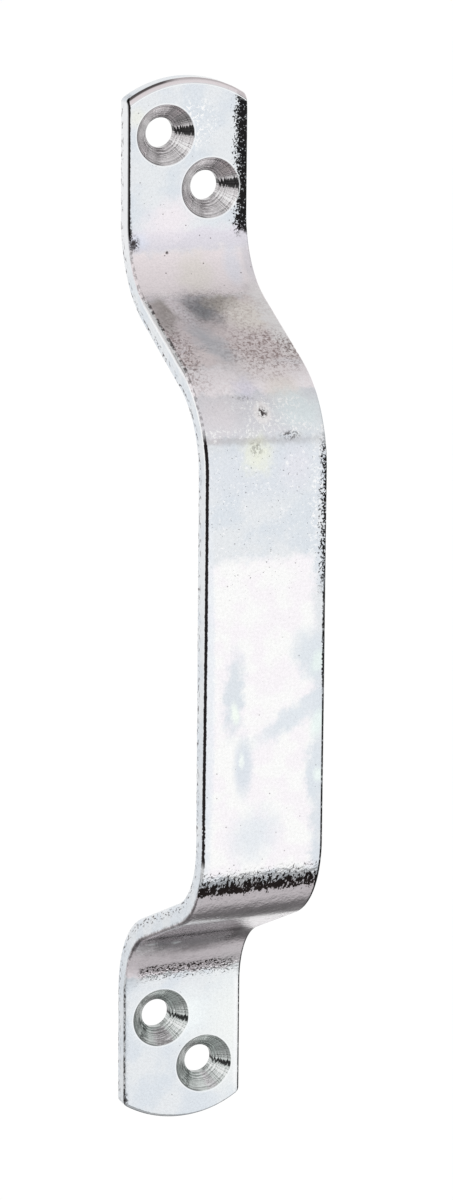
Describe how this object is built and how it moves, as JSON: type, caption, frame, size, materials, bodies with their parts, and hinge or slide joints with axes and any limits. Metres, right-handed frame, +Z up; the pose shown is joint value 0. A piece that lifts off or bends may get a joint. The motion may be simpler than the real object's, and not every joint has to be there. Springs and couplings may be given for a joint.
{
  "type": "gate pull handle",
  "caption": "Cranked pull handle bent from one flat steel strip, with a stand-off grip and two flat feet that each have countersunk screw holes on a diagonal.",
  "frame": {"origin": "on the gate's surface at the back of the upper foot, midway between its two screw holes", "axes": "+Z up along the handle from the lower foot to the upper foot, +X to the right across the strip as a person facing the gate sees it, -Y out from the gate towards that person"},
  "size_m": [0.025, 0.045, 0.2129],
  "materials": {
    "zinc_plate": "satin"
  },
  "bodies": {
    "root": {"pull_handle": "zinc_plate"}
  },
  "joints": []
}
